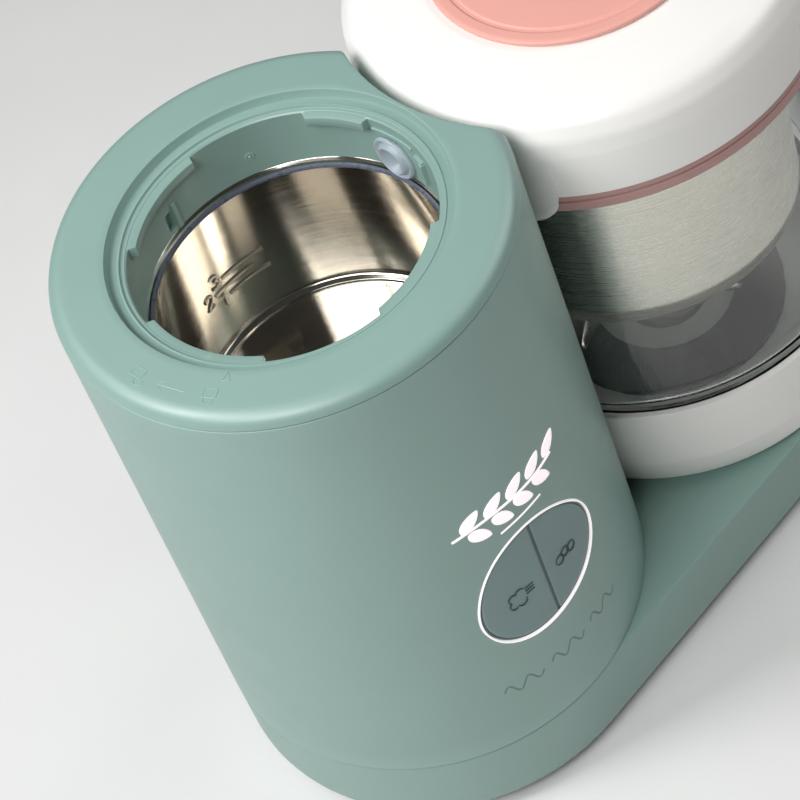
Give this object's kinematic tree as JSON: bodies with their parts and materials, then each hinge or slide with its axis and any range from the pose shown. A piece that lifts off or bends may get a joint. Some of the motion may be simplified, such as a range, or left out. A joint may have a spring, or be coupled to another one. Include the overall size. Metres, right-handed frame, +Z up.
{
  "type": "baby food maker",
  "caption": "Steam-and-blend baby food maker: a water tower with a boiler tank, two keys and a belt motor, and a lift-off glass bowl with blade, basket, lid and cap.",
  "frame": {"origin": "centre of the footprint, on the surface that the feet stand on", "axes": "+X from the water tower towards the bowl and its handle, +Y towards the back, away from the keys, +Z up"},
  "size_m": [0.35, 0.169, 0.253],
  "materials": {
    "body_shell": "satin moulded eucalyptus green",
    "dark_shell": "satin moulded grey green",
    "key_pad": "soft satin grey green",
    "white_plastic": "semi-gloss warm white",
    "bezel": "glossy off-white",
    "pink_plastic": "satin salmon pink",
    "pink_silicone": "dusty pink silicone",
    "clear_silicone": "translucent silicone",
    "tank_steel": "deep-drawn polished steel",
    "basket_steel": "fine brushed steel",
    "blade_steel": "ground steel",
    "screw_steel": "machined steel",
    "cast_aluminium": "die-cast",
    "bush_brass": "sintered bronze",
    "bowl_glass": "clear pressed glass",
    "foot_rubber": "black rubber",
    "belt_rubber": "ribbed black rubber",
    "switch_black": "black plastic",
    "circuit_board": "solder mask",
    "inner_nylon": "natural nylon"
  },
  "bodies": {
    "root": {"base_housing": "body_shell", "base_cover": "dark_shell", "foot_1": "foot_rubber", "foot_2": "foot_rubber", "foot_3": "foot_rubber", "foot_4": "foot_rubber", "base_screw_1": "screw_steel", "base_screw_2": "screw_steel", "base_screw_3": "screw_steel", "base_screw_4": "screw_steel", "cord_gland": "foot_rubber", "tower_shell": "body_shell", "tower_top": "body_shell", "boiler_tank": "tank_steel", "tank_seal": "clear_silicone", "tank_clamp": "inner_nylon", "steam_outlet_seal": "clear_silicone", "heater_plate": "cast_aluminium", "heating_element": "screw_steel", "thermostat_1": "cast_aluminium", "thermostat_2": "cast_aluminium", "control_bezel": "bezel", "control_board": "circuit_board", "steam_switch": "switch_black", "blend_switch": "switch_black", "interlock_switch": "switch_black", "motor_stator": "screw_steel", "motor_frame_lower": "cast_aluminium", "motor_frame_upper": "cast_aluminium", "motor_bearing_lower": "screw_steel", "motor_bearing_upper": "screw_steel", "drive_belt": "belt_rubber", "drive_bush": "bush_brass"},
    "steam_key": {"steam_key": "key_pad"},
    "blend_key": {"blend_key": "key_pad"},
    "interlock": {"interlock_pin": "inner_nylon"},
    "rotor": {"motor_rotor": "screw_steel", "motor_fan": "inner_nylon", "motor_pulley": "inner_nylon"},
    "drive": {"driven_pulley": "inner_nylon", "drive_shaft": "screw_steel", "drive_coupling": "inner_nylon"},
    "bowl": {"bowl_collar": "white_plastic", "bowl_gasket": "pink_silicone", "glass_bowl": "bowl_glass", "bowl_handle": "white_plastic", "blade_bush": "bush_brass", "bush_nut": "inner_nylon"},
    "blades": {"blade_coupling": "inner_nylon", "blade_shaft": "screw_steel", "blade_hub": "white_plastic", "blade": "blade_steel"},
    "basket": {"steam_basket": "basket_steel"},
    "lid": {"lid_shell": "white_plastic", "lid_seal": "pink_silicone"},
    "cap": {"lid_cap": "pink_plastic"}
  },
  "joints": [
    {"name": "steam_press", "type": "slide", "parent": "root", "child": "steam_key", "axis": [0, 1, 0], "range_m": [0, 0.0012], "stiffness_N_per_m": 900},
    {"name": "blend_press", "type": "slide", "parent": "root", "child": "blend_key", "axis": [0, 1, 0], "range_m": [0, 0.0012], "stiffness_N_per_m": 900},
    {"name": "bowl_lift", "type": "slide", "parent": "root", "child": "bowl", "axis": [0, 0, 1], "range_m": [0, 0.16]},
    {"name": "interlock_slide", "type": "slide", "parent": "root", "child": "interlock", "axis": [1, 0, 0], "range_m": [0, 0.002]},
    {"name": "motor_spin", "type": "hinge", "parent": "root", "child": "rotor", "pos_m": [-0.091, 0, 0.05], "axis": [0, 0, 1], "continuous": true},
    {"name": "drive_spin", "type": "hinge", "parent": "root", "child": "drive", "pos_m": [0.0575, 0, 0.03], "axis": [0, 0, 1], "continuous": true},
    {"name": "blade_spin", "type": "hinge", "parent": "bowl", "child": "blades", "pos_m": [0.0575, 0, 0.07], "axis": [0, 0, 1], "continuous": true},
    {"name": "lid_lift", "type": "slide", "parent": "bowl", "child": "lid", "axis": [0, 0, 1], "range_m": [0, 0.14]},
    {"name": "basket_lift", "type": "slide", "parent": "bowl", "child": "basket", "axis": [0, 0, 1], "range_m": [0, 0.112]},
    {"name": "cap_lift", "type": "slide", "parent": "lid", "child": "cap", "axis": [0, 0, 1], "range_m": [0, 0.05]}
  ],
  "couplings": [
    {"joint": "interlock_slide", "follows": "bowl_lift", "ratio": 0.0125},
    {"joint": "drive_spin", "follows": "motor_spin", "ratio": 0.3333},
    {"joint": "blade_spin", "follows": "motor_spin", "ratio": 0.3333},
    {"joint": "basket_lift", "follows": "lid_lift", "ratio": 0.8}
  ]
}
